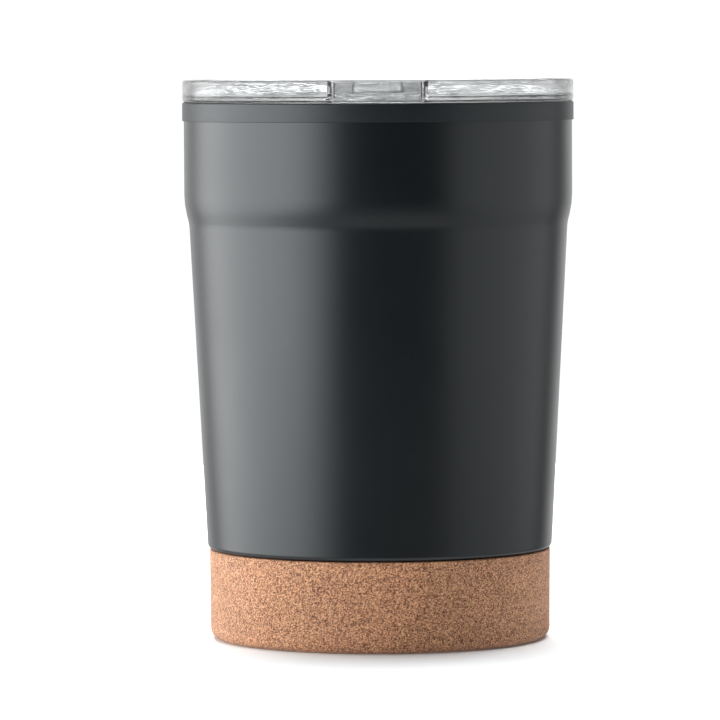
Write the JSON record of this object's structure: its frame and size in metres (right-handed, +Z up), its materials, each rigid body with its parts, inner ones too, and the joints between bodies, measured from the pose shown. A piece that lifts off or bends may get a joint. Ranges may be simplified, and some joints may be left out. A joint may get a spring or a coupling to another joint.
{
  "type": "travel tumbler",
  "caption": "Insulated travel tumbler: lacquered steel shell over a moulded liner, cork foot, and a clear push-in lid with a sliding drinking closure.",
  "frame": {"origin": "middle of the cork foot's underside, on the surface that the cup stands on", "axes": "+Z up along the cup's axis; -Y towards the lid's drinking spout; +X to the right of someone who faces the spout"},
  "size_m": [0.085, 0.085, 0.1215],
  "materials": {
    "lacquered_steel": "satin charcoal lacquer",
    "liner_plastic": "satin dark grey polypropylene",
    "black_rubber": "matte",
    "bonding_foam": "matte adhesive foam",
    "cork": "fine agglomerated cork, unsealed",
    "clear_plastic": "clear, glossy",
    "silicone": "translucent, satin"
  },
  "bodies": {
    "cup": {"outer_shell": "lacquered_steel", "inner_liner": "liner_plastic", "rim_gasket": "black_rubber", "base_cap": "liner_plastic", "base_gasket": "black_rubber", "bond_pad": "bonding_foam", "cork_base": "cork"},
    "seal": {"lid_seal": "silicone"},
    "lid": {"lid_body": "clear_plastic"},
    "closure": {"slider": "clear_plastic"}
  },
  "joints": [
    {"name": "lid_lift", "type": "slide", "parent": "cup", "child": "seal", "axis": [0, 0, 1], "range_m": [0, 0.04]},
    {"name": "lid_turn", "type": "hinge", "parent": "seal", "child": "lid", "pos_m": [0, 0, 0.119], "axis": [0, 0, 1], "continuous": true},
    {"name": "slider_slide", "type": "slide", "parent": "lid", "child": "closure", "axis": [0, 1, 0], "range_m": [0, 0.014]}
  ]
}
